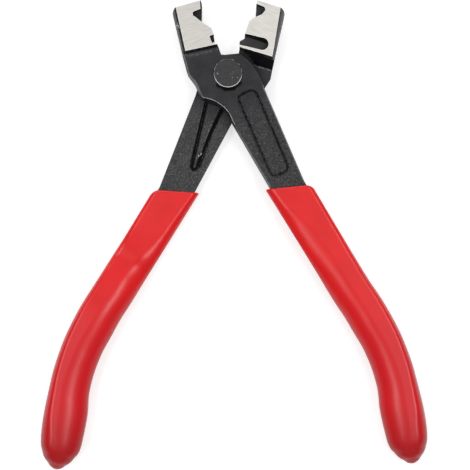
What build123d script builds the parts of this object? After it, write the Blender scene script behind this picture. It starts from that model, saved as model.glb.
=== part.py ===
from build123d import *
import math
import os
from dataclasses import dataclass

os.makedirs("parts", exist_ok=True)

# Hose clamp pliers lying on a bench, jaws up the page (+Y), seen from above (+Z).
# The origin is on the pivot axis at bench height. Lengths are millimetres, angles degrees.
# Both levers are the same forging, one turned over. Each is drawn flat in its own frame:
# pivot at the origin, mating line along +Y, jaw towards +X, outer face at height 0.

# Levels through the joint
lap_thickness = 5.8
lap_gap = 0.05
grip_wall = 1.2
bench_clearance = 0.1
full_thickness = 2 * lap_thickness + lap_gap
seat_height = grip_wall + bench_clearance

# Rivet
rivet_radius = 3.5
rivet_fit = 0.02
rivet_running_clearance = 0.05
head_radius = 5.45
head_height = 1.3
head_edge = 0.3
tail_radius = 4.7
tail_edge = 0.35
tail_end_play = 0.05

# Jaws: the outlines' shares are of the width and the reach
jaw_width = 14.0
jaw_reach = 30.0
jaw_corner_radius = 2.2
strip_outer_width = 1.85
strip_outer_taper = 1.0
strip_mating_width = 2.15
strip_mating_taper = 3.2
strip_depth = 4.4
strip_overreach_share = 0.5
hook_bevel = 0.5
pocket_bevel = 1.5
hook_bevel_depth = 0.7
pocket_depth = 3.6

# Hook pocket, small notch and long slot of each jaw: the pocket's outlines on the outer and the
# mating side are shares of its size, counted from the hook's edge at the height of its top
pocket_size = 4.5
pocket_top_outer = 26.55
pocket_top_mating = 28.5
pocket_outer_shares = ((1.10, 0.00), (1.10, -0.31), (0.94, -0.52), (0.66, -0.97))
pocket_mating_shares = ((0.98, 0.00), (0.98, -0.29), (0.86, -0.65), (0.46, -1.03))
pocket_corner_radius = 1.1
notch_in = 1.8
notch_low = 12.9
notch_high = 15.7
slot_width = 4.6
slot_in = 8.2
slot_height = 15.15
slot_tilt = 8.0

# Groove under the ground face, and the ramp from the far side of the jaw down to the lap
groove_height = 11.8
groove_width = 1.9
groove_depth = 0.9
groove_wall = 0.3
groove_tilt = 8.0
ramp_foot = 6.5
ramp_run = 4.4
ramp_tilt = 5.0
boss_sweep_radius = 10.9

# Lap and shank: the outlines' shares are of the lap size
lap_size = 15.0
forging_draft = 8.0
shank_outer = 9.0
shank_inner_top = 8.25
shank_inner_low = 3.9
shank_top = 17.1
shank_start = 8.0
shank_end = 53.0
shank_relief_start = 9.5
shank_relief_slope = 2.2

# Rounded panel on the outer face of the shank
panel_width = 7.9
panel_top = 9.2
panel_length = 33.9
panel_centre = -1.5
panel_radius = 1.9
panel_depth = 0.6
panel_wall_slope = 45.0

# Tapered recess on the mating face of the shank
recess_top = 11.95
recess_length = 26.6
recess_left = 4.9
recess_right = 3.1
recess_low_left = 1.25
recess_low_right = 2.1
recess_depth = 1.5
recess_steep_wall = 0.6
recess_gentle_wall = 1.7
recess_head_wall = 0.85
recess_tail_wall = 3.8
recess_end_radius = 1.3
recess_floor_radius = 0.4

# Handle: a straight run, a bend and a straight end
handle_start_in = -0.75
handle_start_down = 44.0
handle_lean = 11.5
handle_straight_length = 55.5
handle_bend_radius = 75.0
handle_bend = 20.0
handle_end_length = 41.2
grip_width = 15.5
grip_gap = 0.2
grip_mouth_in = -2.75
grip_mouth_down = 49.0
grip_mouth_tilt = 17.5
grip_lip = 0.5
shift_fade_share = 0.43

tang_margin = 0.1
tang_first_share = 0.05
tang_last_share = 0.92

# Overrun of every cut
over = 1.0


@dataclass(frozen=True)
class GripSection:
    """A section of the dipped handle. place is its share of the way from the mouth to the tip.

    outer and inner are half widths as shares of the grip width, rise takes the mating side from
    half to full thickness, thinness narrows the thickness towards the tip, and the last two are
    the corner roundings of the outer and the inner side as shares of the section's smaller side.
    """

    place: float
    outer: float
    inner: float
    rise: float
    thinness: float
    outer_round: float
    inner_round: float


grip_section_shares = [
    GripSection(0.000, 0.530, 0.460, 0.00, 1.00, 0.20, 0.26),
    GripSection(0.082, 0.523, 0.472, 0.00, 1.00, 0.22, 0.40),
    GripSection(0.200, 0.503, 0.492, 0.02, 1.00, 0.24, 0.46),
    GripSection(0.313, 0.487, 0.513, 0.45, 1.00, 0.26, 0.46),
    GripSection(0.428, 0.473, 0.537, 0.88, 1.00, 0.29, 0.46),
    GripSection(0.527, 0.490, 0.533, 1.00, 1.00, 0.33, 0.46),
    GripSection(0.626, 0.545, 0.450, 1.00, 1.00, 0.37, 0.45),
    GripSection(0.724, 0.598, 0.390, 1.00, 1.00, 0.40, 0.44),
    GripSection(0.823, 0.593, 0.477, 1.00, 1.00, 0.43, 0.43),
    GripSection(0.905, 0.535, 0.493, 1.00, 0.95, 0.44, 0.44),
    GripSection(0.955, 0.410, 0.385, 1.00, 0.74, 0.45, 0.45),
    GripSection(0.988, 0.190, 0.180, 1.00, 0.36, 0.46, 0.46),
    GripSection(1.000, 0.070, 0.070, 1.00, 0.13, 0.46, 0.46),
]


@dataclass(frozen=True)
class Forging:
    """What differs between the two levers; the points are shares of the jaw or the lap."""

    swing: float
    lean: float
    shank_shift: float
    edge_shares: tuple
    shoulder_shares: tuple
    hook_shares: tuple
    jaw_back_shares: tuple
    hip_shares: tuple
    heel_shares: tuple
    back_shares: tuple
    notch_shares: tuple


front = Forging(
    swing=20.0,
    lean=3.3,
    shank_shift=-1.85,
    edge_shares=((0.000, 0.247), (0.000, 0.387), (0.050, 0.413), (0.043, 0.447), (0.000, 0.533)),
    shoulder_shares=((0.000, 0.610), (0.107, 0.670), (0.213, 0.740)),
    hook_shares=((0.135, 0.805), (0.085, 0.870), (0.021, 0.947), (0.021, 0.990)),
    jaw_back_shares=((0.850, 1.020), (1.003, 0.400), (1.043, 0.190)),
    hip_shares=((0.935, 0.850), (0.975, 0.310), (0.885, 0.015), (0.870, -0.335), (0.825, -0.415)),
    heel_shares=((0.540, -0.645), (0.360, -1.020)),
    back_shares=((-0.770, -0.610), (-0.700, 0.000), (-0.450, 0.425)),
    notch_shares=((-0.100, 0.515), (0.000, 0.560), (0.000, 0.770)),
)
rear = Forging(
    swing=21.4,
    lean=0.0,
    shank_shift=0.0,
    edge_shares=((0.090, 0.290), (-0.030, 0.437), (-0.018, 0.455), (0.062, 0.497), (0.034, 0.553)),
    shoulder_shares=((0.025, 0.707), (0.075, 0.757), (0.150, 0.793)),
    hook_shares=((0.107, 0.843), (0.057, 0.920), (0.025, 0.960), (0.021, 1.000)),
    jaw_back_shares=((0.832, 1.025), (1.029, 0.417), (1.110, 0.190)),
    hip_shares=((0.955, 0.850), (1.055, 0.280), (0.995, 0.005), (0.925, -0.365), (0.870, -0.445)),
    heel_shares=((0.630, -0.675), (0.535, -1.080)),
    back_shares=((-0.590, -0.565), (-0.530, 0.065), (-0.315, 0.405)),
    notch_shares=((-0.085, 0.490), (0.060, 0.580), (0.020, 0.780)),
)


def jaw_points(shares):
    """Points of the jaw outline from shares of its width and reach."""
    return [(x * jaw_width, y * jaw_reach) for x, y in shares]


def lap_points(shares):
    """Points of the lap outline from shares of the lap size."""
    return [(x * lap_size, y * lap_size) for x, y in shares]


def handle_frame(forging, height):
    """The plane of a lever's handle: the lever's own plane leant about the pivot."""
    return Plane.XY.offset(height).rotated((0, 0, -forging.lean))


def tilted_edge(height, tilt):
    """A plane across the jaw: x runs up the jaw from the edge, y through the thickness."""
    turn = math.radians(tilt)
    across = (math.cos(turn), math.sin(turn), 0)
    return Plane(origin=(0, height, 0), x_dir=(-math.sin(turn), math.cos(turn), 0), z_dir=across)


def jaw_block(forging):
    """The full-thickness jaw with its rounded outer corner and its two drafted strips."""
    corner, root, foot = jaw_points(forging.jaw_back_shares)
    with BuildPart() as block:
        with BuildSketch():
            with BuildLine():
                edge = jaw_points(forging.edge_shares)
                shoulder = jaw_points(forging.shoulder_shares)
                hook = jaw_points(forging.hook_shares)
                low = (edge[0][0], foot[1])
                Polyline(low, *edge, shoulder[0])
                ThreePointArc(*shoulder)
                Polyline(shoulder[-1], *hook, corner, root, foot, low)
            make_face()
            fillet(vertices().sort_by_distance(corner)[0], jaw_corner_radius)
        extrude(amount=full_thickness)
    return block.part


def side_strips(forging):
    """What is cut from both long edges of the jaw's outer side: two slopes that run out downward."""
    corner, root, foot = [Vector(*point) for point in jaw_points(forging.jaw_back_shares)]
    strips = (
        (0, 1, strip_outer_width, strip_outer_taper),
        (full_thickness, -1, strip_mating_width, strip_mating_taper),
    )
    with BuildPart() as cut:
        for level, way, width, taper in strips:
            down = (root - corner).normalized().rotate(Axis.Z, taper)
            reach = width * strip_overreach_share
            rise = strip_depth * strip_overreach_share
            with BuildSketch(Plane(corner, x_dir=(-down.Y, down.X, 0), z_dir=down)):
                with BuildLine():
                    Polyline(
                        (-width - reach, level - way * rise),
                        (reach, level + way * (strip_depth + rise)),
                        (width + over, level + way * (strip_depth + rise)),
                        (width + over, level - way * rise),
                        close=True,
                    )
                make_face()
            extrude(amount=jaw_reach, both=True)
    return cut.part


def cut_far_side(forging):
    """What is cut from the jaw's mating half: the ramp down to the lap and the boss's room."""
    with BuildPart() as cut:
        with BuildSketch(tilted_edge(ramp_foot, ramp_tilt)):
            with BuildLine():
                Polyline(
                    (0, lap_thickness),
                    (ramp_run, full_thickness),
                    (ramp_run, full_thickness + over),
                    (-ramp_foot, full_thickness + over),
                    (-ramp_foot, lap_thickness),
                    close=True,
                )
            make_face()
        extrude(amount=2 * jaw_width, both=True)
        with BuildSketch(Plane.XY.offset(lap_thickness)):
            Circle(boss_sweep_radius)
        extrude(amount=full_thickness)
    return cut.part


def hook_pocket(top, shares):
    """Outline of the hook pocket, opened past the hook's edge."""
    inside = [(x * pocket_size, top + y * pocket_size) for x, y in shares]
    return [(-jaw_width, top), *inside, (-jaw_width, inside[-1][1])]


def pockets():
    """The pockets of both sides of a jaw, and the groove under its outer ground face."""
    with BuildPart() as cut:
        with BuildSketch(Plane.XY.offset(-over)):
            with BuildLine():
                outline = hook_pocket(pocket_top_outer, pocket_outer_shares)
                Polyline(*outline, close=True)
            make_face()
            fillet(vertices().sort_by_distance(outline[1])[0], pocket_corner_radius)
            with Locations((notch_in - jaw_width / 2, (notch_low + notch_high) / 2)):
                Rectangle(jaw_width, notch_high - notch_low)
        extrude(amount=over + pocket_depth)
        with BuildSketch(Plane.XY.offset(-over)):
            with BuildLine():
                Polyline(
                    (-jaw_width, jaw_reach),
                    (hook_bevel, jaw_reach),
                    (pocket_bevel, pocket_top_outer),
                    (-jaw_width, pocket_top_outer),
                    close=True,
                )
            make_face()
        extrude(amount=over + hook_bevel_depth)
        with BuildSketch(Plane.XY.offset(full_thickness - pocket_depth)):
            with BuildLine():
                outline = hook_pocket(pocket_top_mating, pocket_mating_shares)
                Polyline(*outline, close=True)
            make_face()
            fillet(vertices().sort_by_distance(outline[1])[0], pocket_corner_radius)
            with Locations((0, slot_height - slot_in * math.sin(math.radians(slot_tilt)))):
                with Locations(Location((0, 0, 0), (0, 0, slot_tilt))):
                    with Locations((slot_in - jaw_width, 0)):
                        SlotCenterToCenter(2 * jaw_width, slot_width)
        extrude(amount=pocket_depth + over)
        with BuildSketch(tilted_edge(groove_height, groove_tilt)):
            with BuildLine():
                Polyline(
                    (0, -over),
                    (0, 0),
                    (-groove_wall, groove_depth),
                    (-groove_width, 0),
                    (-groove_width, -over),
                    close=True,
                )
            make_face()
        extrude(amount=2 * jaw_width, both=True)
    return cut.part


def lap_and_shank(forging):
    """The half-thickness plate round the pivot and its shank, drafted towards the outer face."""
    shift = forging.shank_shift
    frame = handle_frame(forging, lap_thickness)
    corner = frame.from_local_coords((shift + shank_inner_top, -shank_top, 0))
    with BuildPart() as plate:
        with BuildSketch(Plane.XY.offset(lap_thickness)):
            with BuildLine():
                hip = lap_points(forging.hip_shares)
                heel = lap_points(forging.heel_shares)
                back = lap_points(forging.back_shares)
                notch = lap_points(forging.notch_shares)
                Polyline(*hip)
                ThreePointArc(hip[-1], *heel)
                Polyline(heel[-1], (corner.X, corner.Y), back[0])
                ThreePointArc(*back)
                Polyline(back[-1], *notch, hip[0])
            make_face()
        with BuildSketch(frame):
            with BuildLine():
                join = frame.to_local_coords(Vector(*heel[-1], lap_thickness))
                Polyline(
                    (shift - shank_outer, -shank_start),
                    (shift - shank_outer, -shank_end),
                    (shift + shank_inner_low, -shank_end),
                    (shift + shank_inner_top, -shank_top),
                    (join.X, join.Y),
                    (0, -shank_start),
                    close=True,
                )
            make_face()
        extrude(amount=-lap_thickness, taper=forging_draft)
    return plate.part


def shank_relief(forging):
    """What is cut from the shank's mating face so that dipped handles can pass each other."""
    depth = grip_wall
    with BuildPart() as cut:
        frame = handle_frame(forging, 0)
        side = Plane(frame.origin, x_dir=-frame.y_dir, z_dir=-frame.x_dir)
        with BuildSketch(side):
            with BuildLine():
                Polyline(
                    (shank_relief_start, lap_thickness),
                    (shank_relief_start + shank_relief_slope, lap_thickness - depth),
                    (2 * shank_end, lap_thickness - depth),
                    (2 * shank_end, lap_thickness + over),
                    (shank_relief_start, lap_thickness + over),
                    close=True,
                )
            make_face()
        extrude(amount=2 * lap_size, both=True)
    return cut.part


def panel(forging):
    """The shallow rounded panel of the outer face."""
    with BuildPart() as cut:
        with BuildSketch(handle_frame(forging, 0)):
            centre = (forging.shank_shift + panel_centre, -panel_top - panel_length / 2)
            with Locations(centre):
                RectangleRounded(panel_width, panel_length, panel_radius)
        extrude(amount=panel_depth, taper=panel_wall_slope)
    return cut.part


def recess(forging):
    """The tapered recess of the mating face: one steep and one gentle wall."""
    top = lap_thickness - grip_wall
    shift = forging.shank_shift
    low = recess_top + recess_length
    floor = top - recess_depth
    floor_walls = (recess_steep_wall, recess_gentle_wall, recess_head_wall, recess_tail_wall)
    rim = (top, (0, 0, 0, 0), recess_end_radius)
    foot = (floor, floor_walls, recess_floor_radius)
    with BuildPart() as cut:
        for height, (steep, gentle, head, tail), radius in (rim, foot):
            with BuildSketch(handle_frame(forging, height)):
                with BuildLine():
                    Polyline(
                        (shift - recess_left + steep, -recess_top - head),
                        (shift + recess_right - gentle, -recess_top - head),
                        (shift + recess_low_right - gentle, -low + tail),
                        (shift - recess_low_left + steep, -low + tail),
                        close=True,
                    )
                make_face()
                fillet(vertices().group_by(Axis.Y)[0], radius)
        loft(ruled=True)
    return cut.part


def handle_route():
    """The handle's centre line in the handle frame, from the shank to the tip."""
    with BuildLine() as route:
        start = (handle_start_in, -handle_start_down)
        first = PolarLine(start, handle_straight_length, -90 - handle_lean)
        bend = JernArc(first @ 1, first % 1, handle_bend_radius, handle_bend)
        PolarLine(bend @ 1, handle_end_length, direction=bend % 1)
    return route.wires()[0]


def section_value(share, column):
    """A column of the grip sections at a place along the handle, smooth and without overshoot."""
    places = [row.place for row in grip_section_shares]
    values = [getattr(row, column) for row in grip_section_shares]
    spans = [high - low for low, high in zip(places, places[1:])]
    slopes = [(high - low) / span for low, high, span in zip(values, values[1:], spans)]
    bends = [0.0]
    for before, after in zip(slopes, slopes[1:]):
        same_way = before * after > 0
        bends.append(2 * before * after / (before + after) if same_way else 0.0)
    bends.append(slopes[-1])
    index = max(i for i, place in enumerate(places[:-1]) if place <= share)
    part = (share - places[index]) / spans[index]
    rise = part * part * (3 - 2 * part)
    leave = part * (1 - part) * (1 - part) * spans[index] * bends[index]
    arrive = part * part * (1 - part) * spans[index] * bends[index + 1]
    return values[index] + rise * (values[index + 1] - values[index]) + leave - arrive


def section_places():
    """Where the loft takes its sections: at each row and half-way between rows."""
    places = [row.place for row in grip_section_shares]
    halves = [(low + high) / 2 for low, high in zip(places, places[1:])]
    return sorted(places + halves)


def handle_body(forging, shares, inset):
    """A loft along the handle through the grip sections, drawn in by inset."""
    frame = handle_frame(forging, 0)
    route = handle_route()
    flat_top = lap_thickness - grip_gap
    full_rise = full_thickness + grip_wall - flat_top
    with BuildPart() as body:
        for share in shares:
            fade = max(0, 1 - share / shift_fade_share)
            shift = forging.shank_shift * fade
            outer = section_value(share, "outer") * grip_width - shift - inset
            inner = section_value(share, "inner") * grip_width + shift - inset
            top = flat_top + section_value(share, "rise") * full_rise
            thickness = (top + grip_wall) * section_value(share, "thinness") - 2 * inset
            smaller = min(thickness, outer + inner)
            place = frame.from_local_coords(route.position_at(share))
            along = frame.from_local_coords(route.tangent_at(share) + Vector(0, 0, 0)) - frame.origin
            plane = Plane(place, x_dir=(-along.Y, along.X, 0), z_dir=along)
            with BuildSketch(plane):
                with Locations(((inner - outer) / 2, (top - grip_wall) / 2)):
                    Rectangle(outer + inner, thickness)
                outer_corners = vertices().group_by(Axis.X)[0]
                fillet(outer_corners, section_value(share, "outer_round") * smaller)
                inner_corners = vertices().group_by(Axis.X)[-1]
                fillet(inner_corners, section_value(share, "inner_round") * smaller)
        loft()
    return body.part


def forge_lever(forging, bore_clearance):
    """One lever, flat in its own frame."""
    inside = [share for share in section_places() if tang_first_share < share < tang_last_share]
    with BuildPart() as lever:
        add(jaw_block(forging))
        add(side_strips(forging), mode=Mode.SUBTRACT)
        add(cut_far_side(forging), mode=Mode.SUBTRACT)
        add(lap_and_shank(forging))
        add(pockets(), mode=Mode.SUBTRACT)
        add(shank_relief(forging), mode=Mode.SUBTRACT)
        add(recess(forging), mode=Mode.SUBTRACT)
        add(panel(forging), mode=Mode.SUBTRACT)
        add(handle_body(forging, [tang_first_share, *inside, tang_last_share], grip_wall + tang_margin))
        with Locations((0, 0, 0)):
            Hole(rivet_radius + bore_clearance)
    return lever.part


def dip_grip(forging, lever):
    """The vinyl sleeve dipped over one lever's handle."""
    frame = handle_frame(forging, 0)
    mouth = frame.from_local_coords((forging.shank_shift + grip_mouth_in, -grip_mouth_down, 0))
    turn = math.radians(grip_mouth_tilt - forging.lean)
    with BuildPart() as grip:
        add(handle_body(forging, section_places(), 0))
        split(bisect_by=Plane(mouth, z_dir=(-math.sin(turn), math.cos(turn), 0)), keep=Keep.BOTTOM)
        end = grip.faces().sort_by_distance(mouth)[0]
        fillet(end.edges(), grip_lip)
        add(lever, mode=Mode.SUBTRACT)
    return grip.part


def seat(forging, turned_over):
    """Where a lever's own frame stands in the pliers."""
    if turned_over:
        turn = math.radians(forging.swing)
        top = seat_height + full_thickness
        return Plane(origin=(0, 0, top), x_dir=(-math.cos(turn), -math.sin(turn), 0), z_dir=(0, 0, -1))
    turn = math.radians(forging.swing)
    return Plane(origin=(0, 0, seat_height), x_dir=(math.cos(turn), -math.sin(turn), 0), z_dir=(0, 0, 1))


front_forged = forge_lever(front, rivet_fit)
rear_forged = forge_lever(rear, rivet_running_clearance)
front_dipped = dip_grip(front, front_forged)
rear_dipped = dip_grip(rear, rear_forged)

with BuildPart() as front_lever:
    add(front_forged.moved(seat(front, True).location))
front_lever.part.label = "front_lever"
export_step(front_lever.part, "parts/front_lever.step")

with BuildPart() as rear_lever:
    add(rear_forged.moved(seat(rear, False).location))
rear_lever.part.label = "rear_lever"
export_step(rear_lever.part, "parts/rear_lever.step")

with BuildPart() as front_grip:
    add(front_dipped.moved(seat(front, True).location))
front_grip.part.label = "front_grip"
export_step(front_grip.part, "parts/front_grip.step")

with BuildPart() as rear_grip:
    add(rear_dipped.moved(seat(rear, False).location))
rear_grip.part.label = "rear_grip"
export_step(rear_grip.part, "parts/rear_grip.step")

with BuildPart() as pivot_rivet:
    with BuildSketch():
        Circle(tail_radius)
    extrude(amount=seat_height - tail_end_play)
    chamfer(pivot_rivet.edges().group_by(Axis.Z)[0], tail_edge)
    with BuildSketch(Plane.XY.offset(seat_height - tail_end_play)):
        Circle(rivet_radius)
    extrude(amount=full_thickness + tail_end_play)
    with BuildSketch(Plane.XY.offset(seat_height + full_thickness)):
        Circle(head_radius)
    extrude(amount=head_height)
    fillet(pivot_rivet.edges().group_by(Axis.Z)[-1], head_edge)
pivot_rivet.part.label = "pivot_rivet"
export_step(pivot_rivet.part, "parts/pivot_rivet.step")
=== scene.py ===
"""Hose clamp pliers on a white bench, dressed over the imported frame.

Lengths are metres and every piece stands in the frame's own axes: the pivot along +Z at the
origin, the jaws towards +Y. The levers are drawn from the frame's own meshes, the dipped grips
by Geometry Nodes along the handles' bent route, and the rivet by a turned profile.
"""
import logging
import math
from collections.abc import Iterable
from dataclasses import dataclass, fields
from enum import Enum
from functools import reduce

import bmesh
import bpy
from bpy.types import Material, Mesh, Node, NodeTree, Object
from bpy.types import NodeSocket as Socket
from mathutils import Matrix, Vector


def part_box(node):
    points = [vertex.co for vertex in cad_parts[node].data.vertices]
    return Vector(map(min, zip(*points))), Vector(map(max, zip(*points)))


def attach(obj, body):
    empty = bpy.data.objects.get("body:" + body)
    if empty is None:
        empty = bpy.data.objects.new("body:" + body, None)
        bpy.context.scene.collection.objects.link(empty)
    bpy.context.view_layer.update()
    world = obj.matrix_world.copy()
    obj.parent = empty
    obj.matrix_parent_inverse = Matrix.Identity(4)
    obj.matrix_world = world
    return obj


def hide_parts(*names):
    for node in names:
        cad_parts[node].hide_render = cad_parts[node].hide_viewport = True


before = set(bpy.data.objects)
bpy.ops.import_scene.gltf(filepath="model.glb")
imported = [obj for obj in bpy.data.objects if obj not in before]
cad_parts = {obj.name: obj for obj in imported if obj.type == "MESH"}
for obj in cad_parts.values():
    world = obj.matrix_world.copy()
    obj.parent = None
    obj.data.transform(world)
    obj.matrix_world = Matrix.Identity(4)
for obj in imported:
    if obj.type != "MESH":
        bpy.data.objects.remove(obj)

MM = 0.001
WELD = 0.002 * MM
QUARTER_TURN = 0.5 * math.pi
WHITE = (1.0, 1.0, 1.0, 1.0)
LOG = logging.getLogger("hose_clamp_pliers")

Value = Socket | float | str | tuple
Inputs = dict[str | int, Value]
Colour = tuple[float, float, float, float]
Span = tuple[float, float]
Point = tuple[float, float, float]


class Side(Enum):
    """Which lever a piece belongs to: the one on top at the pivot, or the one below."""

    FRONT = "front"
    REAR = "rear"

    @property
    def lever(self) -> str:
        """The name of the lever's node."""
        return f"{self.value}_lever"

    @property
    def body(self) -> str:
        """The name of the moving body."""
        return f"{self.value}_half"


# How far each lever's jaw stands from the middle, in degrees.
SWINGS = {Side.FRONT: 20.0, Side.REAR: 21.4}


class Graph:
    """A node tree with short ways to add nodes, sums and ramps."""

    NUMBER_SUMS = ("DOT_PRODUCT", "DISTANCE", "LENGTH")

    def __init__(self, tree: NodeTree) -> None:
        """Wrap the tree that the nodes go into."""
        self.tree = tree

    def add(self, kind: str, inputs: Inputs | None = None, **settings: object) -> Node:
        """Add a node.

        Args:
            kind: The node's type name.
            inputs: What its inputs get, by their names or numbers.
            **settings: The properties that are set on it first.

        Returns:
            The new node.
        """
        node = self.tree.nodes.new(kind)
        for name, value in settings.items():
            setattr(node, name, value)
        self.feed(node, inputs or {})
        return node

    def feed(self, node: Node, inputs: Inputs) -> None:
        """Feed a node's inputs, each by a link or a plain value.

        Args:
            node: The node.
            inputs: What its inputs get, by their names or numbers.
        """
        for key, value in inputs.items():
            if isinstance(value, Socket):
                self.tree.links.new(value, node.inputs[key])
            else:
                node.inputs[key].default_value = value

    def math(self, operation: str, *values: Value, clamp: bool = False) -> Socket:
        """Add a sum; clamp keeps its result between 0 and 1."""
        settings = {"operation": operation, "use_clamp": clamp}
        return self.add("ShaderNodeMath", dict(enumerate(values)), **settings).outputs[0]

    def fold(self, operation: str, values: Iterable[Value]) -> Socket:
        """Run an operation through the values, one after another."""
        return reduce(lambda total, value: self.math(operation, total, value), values)

    def times(self, *values: Value) -> Socket:
        """The product of the values."""
        return self.fold("MULTIPLY", values)

    def plus(self, *values: Value) -> Socket:
        """The total of the values."""
        return self.fold("ADD", values)

    def most(self, *values: Value) -> Socket:
        """The largest of the values."""
        return self.fold("MAXIMUM", values)

    def minus(self, first: Value, second: Value) -> Socket:
        """The first value less the second."""
        return self.math("SUBTRACT", first, second)

    def rest(self, share: Value) -> Socket:
        """What a share leaves of 1."""
        return self.math("SUBTRACT", 1.0, share)

    def part(self, value: Value, whole: Value) -> Socket:
        """A value as a share of a whole, kept between 0 and 1."""
        return self.math("DIVIDE", value, whole, clamp=True)

    def line(self, value: Value, slope: Value, base: Value) -> Socket:
        """A value times a slope, on top of a base."""
        return self.math("MULTIPLY_ADD", value, slope, base)

    def either(self, first: Value, second: Value, share: Value) -> Socket:
        """The first value where the share is 0 and the second where it is 1."""
        return self.line(self.minus(second, first), share, first)

    def above(self, value: Value, limit: float) -> Socket:
        """1 above the limit and 0 below it."""
        return self.math("GREATER_THAN", value, limit)

    def below(self, value: Value, limit: float) -> Socket:
        """1 below the limit and 0 above it."""
        return self.math("LESS_THAN", value, limit)

    def between(self, value: Value, low: float, high: float) -> Socket:
        """1 between two places in mm and 0 outside them."""
        return self.times(self.above(value, low * MM), self.below(value, high * MM))

    def ramp(self, value: Value, start: float, end: float) -> Socket:
        """A smooth step.

        Args:
            value: What is stepped.
            start: Where the step is 0.
            end: Where it is 1, above or below the start.

        Returns:
            The step.
        """
        step = {"Value": value, "From Min": min(start, end), "From Max": max(start, end)}
        step |= {"To Min": float(start > end), "To Max": float(start < end)}
        return self.add("ShaderNodeMapRange", step, interpolation_type="SMOOTHSTEP").outputs[0]

    def vector(self, operation: str, *values: Value) -> Socket:
        """Add a vector sum.

        Args:
            operation: The operation's name.
            *values: Its vectors; a scaling's second value is its share.

        Returns:
            The vector, or the number where the operation gives one.
        """
        keys = (0, "Scale") if operation == "SCALE" else (0, 1)
        node = self.add("ShaderNodeVectorMath", dict(zip(keys, values)), operation=operation)
        return node.outputs["Value" if operation in self.NUMBER_SUMS else "Vector"]

    def parts(self, vector: Value) -> tuple[Socket, ...]:
        """The three numbers of a vector."""
        return tuple(self.add("ShaderNodeSeparateXYZ", {0: vector}).outputs)

    def joined(self, *values: Value) -> Socket:
        """A vector from three numbers."""
        return self.add("ShaderNodeCombineXYZ", dict(enumerate(values))).outputs[0]

    def curve(self, value: Value, points: list[Span]) -> Socket:
        """A curve drawn through given points.

        Args:
            value: What is looked up, between 0 and 1.
            points: The curve's points, from 0 to 1.

        Returns:
            The curve's value.
        """
        node = self.add("ShaderNodeFloatCurve", {"Value": value})
        drawn = node.mapping.curves[0]
        for x, y in points[1:-1]:
            drawn.points.new(x, y)
        for point, place in zip(drawn.points, points):
            point.location = place
            point.handle_type = "AUTO_CLAMPED"
        node.mapping.update()
        return node.outputs[0]


class Paint(Graph):
    """A new material's tree; its place is the shaded point in the row frame."""

    def __init__(self, name: str) -> None:
        """Start a material.

        Args:
            name: The material's name.
        """
        self.material = bpy.data.materials.new(name)
        self.material.use_nodes = True
        super().__init__(self.material.node_tree)
        self.place = self.add("ShaderNodeTexCoord").outputs["Object"]

    def finish(self, look: Inputs) -> Material:
        """Feed the shader, and hand over the material."""
        self.feed(self.tree.nodes["Principled BSDF"], look)
        return self.material

    def mix(self, share: Value, first: Value, second: Value) -> Socket:
        """A colour between two.

        Args:
            share: The second colour's share.
            first: The colour at 0.
            second: The colour at 1.

        Returns:
            The colour.
        """
        node = self.add("ShaderNodeMix", {0: share}, data_type="RGBA")
        colours = [number for number, socket in enumerate(node.inputs) if socket.type == "RGBA"]
        self.feed(node, dict(zip(colours, (first, second))))
        return next(socket for socket in node.outputs if socket.type == "RGBA")

    def stored(self, name: str) -> Socket:
        """The piece's own attribute of a name."""
        return self.add("ShaderNodeAttribute", attribute_name=name).outputs["Fac"]

    def flat(self, place: Socket) -> Socket:
        """A point without its height."""
        return self.vector("MULTIPLY", place, (1.0, 1.0, 0.0))

    def bump(self, height: Value, strength: Value, depth: float, **normal: Socket) -> Socket:
        """Bend a normal by a relief.

        Args:
            height: The relief's height, as a share of its depth.
            strength: How strongly it shows.
            depth: Its depth, in metres.
            **normal: The Normal that is bent, where it isn't the face's own.

        Returns:
            The bent normal.
        """
        relief = {"Height": height, "Strength": strength, "Distance": depth, **normal}
        return self.add("ShaderNodeBump", relief).outputs[0]


def linear(value: float) -> float:
    """A linear channel from a screen value of 0 to 255."""
    share = value / 255.0
    return share / 12.92 if share <= 0.04045 else ((share + 0.055) / 1.055) ** 2.4


def srgb(*screen: float) -> Colour:
    """A linear colour from three screen values of 0 to 255."""
    return (*map(linear, screen), 1.0)


def placed(name: str, data: bpy.types.ID) -> Object:
    """Put a new object into the scene.

    Args:
        name: Its name.
        data: Its mesh, lamp or camera.

    Returns:
        The object, unturned and at the origin.
    """
    thing = bpy.data.objects.new(name, data)
    bpy.context.scene.collection.objects.link(thing)
    return thing


def smooth(mesh: Mesh, sharp_from: float) -> None:
    """Shade a mesh smooth, up to the edges that bend by more degrees."""
    mesh.polygons.foreach_set("use_smooth", [True] * len(mesh.polygons))
    mesh.set_sharp_from_angle(angle=math.radians(sharp_from))


def seat_matrix(side: Side) -> Matrix:
    """Where a lever's own frame stands in the pliers.

    A lever's own frame has the mating line along +Y, the jaw towards +X and its outer face at
    height 0. The rear lever is turned about the pivot and the front one is turned over as well.

    Args:
        side: The lever.

    Returns:
        The matrix from the lever's frame to the row frame, in metres.
    """
    turn = math.radians(SWINGS[side])
    low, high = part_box(side.lever)
    hand, level = (-1.0, high.z) if side is Side.FRONT else (1.0, low.z)
    across = Vector((hand * math.cos(turn), -math.sin(turn), 0.0))
    along = Vector((hand * math.sin(turn), math.cos(turn), 0.0))
    rows = Matrix((across, along, across.cross(along))).transposed().to_4x4()
    return Matrix.Translation((0.0, 0.0, level)) @ rows


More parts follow.
